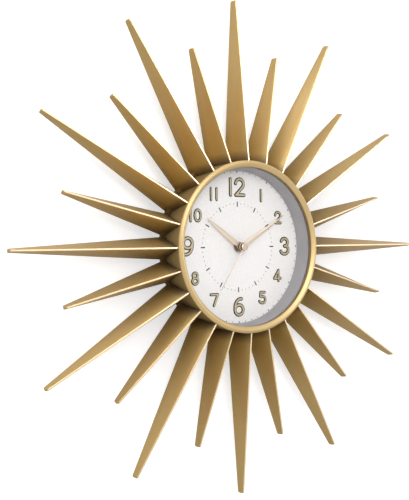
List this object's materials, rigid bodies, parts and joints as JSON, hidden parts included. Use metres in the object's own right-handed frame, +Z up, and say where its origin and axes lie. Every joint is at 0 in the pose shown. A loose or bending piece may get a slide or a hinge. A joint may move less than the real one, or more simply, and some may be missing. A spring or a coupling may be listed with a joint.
{
  "type": "sunburst wall clock",
  "caption": "Round analogue quartz wall clock: white dial under a flat lens, ringed by long and short hollow tapered gold rays set alternately on a drum case, hung from a rear hanger.",
  "frame": {"origin": "the point on the hands' axis in the wall plane, on the flat rear face of the movement cover", "axes": "+Z up towards twelve o'clock, +X towards three o'clock, -Y out of the dial towards the viewer, +Y into the wall"},
  "size_m": [0.5, 0.0431, 0.5],
  "materials": {
    "ray_gold": "satin metallic gold lacquer over moulded plastic",
    "case_gold": "satin metallic gold lacquer over moulded plastic",
    "bezel_gold": "satin pale gold, turned and rounded",
    "lens_clear": "clear polished flat lens",
    "dial_white": "matt warm white with grey printed minute marks and raised bronze-gold numerals",
    "surround_grey": "satin neutral grey",
    "hand_gold": "satin champagne gold, softly ridged",
    "brass": "turned and stamped, bright",
    "steel": "bright zinc-plated",
    "black_plastic": "fine spark-eroded texture",
    "white_plastic": "natural moulded acetal",
    "coil_copper": "enamelled copper winding",
    "board_green": "solder mask",
    "battery_wrap": "plain printed sleeve with bright ends"
  },
  "bodies": {
    "root": {"ray_long_01": "ray_gold", "ray_long_02": "ray_gold", "ray_long_03": "ray_gold", "ray_long_04": "ray_gold", "ray_long_05": "ray_gold", "ray_long_06": "ray_gold", "ray_long_07": "ray_gold", "ray_long_08": "ray_gold", "ray_long_09": "ray_gold", "ray_long_10": "ray_gold", "ray_long_11": "ray_gold", "ray_long_12": "ray_gold", "ray_short_01": "ray_gold", "ray_short_02": "ray_gold", "ray_short_03": "ray_gold", "ray_short_04": "ray_gold", "ray_short_05": "ray_gold", "ray_short_06": "ray_gold", "ray_short_07": "ray_gold", "ray_short_08": "ray_gold", "ray_short_09": "ray_gold", "ray_short_10": "ray_gold", "ray_short_11": "ray_gold", "ray_short_12": "ray_gold", "case_drum": "case_gold", "bezel_ring": "bezel_gold", "lens": "lens_clear", "dial_plate": "dial_white", "dial_surround": "surround_grey", "bush_nut": "brass", "bush_washer": "brass", "train_bridge": "brass", "hanger_plate": "steel", "hanger_screw_1": "steel", "hanger_screw_2": "steel", "retainer_screw_1": "steel", "retainer_screw_2": "steel", "retainer_screw_3": "steel", "stator": "steel", "quartz_crystal": "steel", "contact_positive": "steel", "contact_negative": "steel", "movement_front_case": "black_plastic", "movement_rear_cover": "black_plastic", "ray_retainer_ring": "black_plastic", "coil": "coil_copper", "circuit_board": "board_green"},
    "seconds": {"seconds_hand": "hand_gold", "seconds_wheel": "white_plastic"},
    "rotor": {"rotor": "steel"},
    "reduction": {"reduction_wheel": "white_plastic"},
    "third": {"third_wheel": "white_plastic"},
    "centre": {"centre_wheel": "brass"},
    "minute": {"minute_hand": "hand_gold", "cannon_pinion": "brass"},
    "motion": {"motion_wheel": "white_plastic"},
    "hour": {"hour_hand": "hand_gold", "hour_wheel": "white_plastic"},
    "knob": {"setting_knob": "black_plastic"},
    "battery": {"battery_cell": "battery_wrap"}
  },
  "joints": [
    {"name": "seconds_turn", "type": "hinge", "parent": "root", "child": "seconds", "pos_m": [0, -0.007, 0], "axis": [0, 1, 0], "continuous": true},
    {"name": "rotor_turn", "type": "hinge", "parent": "root", "child": "rotor", "pos_m": [0.01459, -0.004, 0.00173], "axis": [0, 1, 0], "continuous": true},
    {"name": "reduction_turn", "type": "hinge", "parent": "root", "child": "reduction", "pos_m": [0.00748, -0.005, 0.00432], "axis": [0, 1, 0], "continuous": true},
    {"name": "third_turn", "type": "hinge", "parent": "root", "child": "third", "pos_m": [-0.01052, -0.008, 0.00469], "axis": [0, 1, 0], "continuous": true},
    {"name": "centre_turn", "type": "hinge", "parent": "root", "child": "centre", "pos_m": [0, -0.0105, 0], "axis": [0, 1, 0], "continuous": true},
    {"name": "minute_turn", "type": "hinge", "parent": "root", "child": "minute", "pos_m": [0, -0.012, 0], "axis": [0, 1, 0], "continuous": true},
    {"name": "motion_turn", "type": "hinge", "parent": "root", "child": "motion", "pos_m": [-0.00338, -0.0124, 0.00725], "axis": [0, 1, 0], "continuous": true},
    {"name": "hour_turn", "type": "hinge", "parent": "root", "child": "hour", "pos_m": [0, -0.014, 0], "axis": [0, 1, 0], "continuous": true},
    {"name": "knob_turn", "type": "hinge", "parent": "root", "child": "knob", "pos_m": [-0.00338, -0.0013, 0.01525], "axis": [0, 1, 0], "continuous": true},
    {"name": "battery_slide", "type": "slide", "parent": "root", "child": "battery", "axis": [0, 1, 0], "range_m": [0, 0.02]}
  ],
  "couplings": [
    {"joint": "rotor_turn", "follows": "seconds_turn", "ratio": 30},
    {"joint": "reduction_turn", "follows": "seconds_turn", "ratio": -5},
    {"joint": "third_turn", "follows": "seconds_turn", "ratio": -0.13333},
    {"joint": "centre_turn", "follows": "seconds_turn", "ratio": 0.016667},
    {"joint": "motion_turn", "follows": "minute_turn", "ratio": -0.33333},
    {"joint": "hour_turn", "follows": "minute_turn", "ratio": 0.083333},
    {"joint": "knob_turn", "follows": "minute_turn", "ratio": 1}
  ]
}
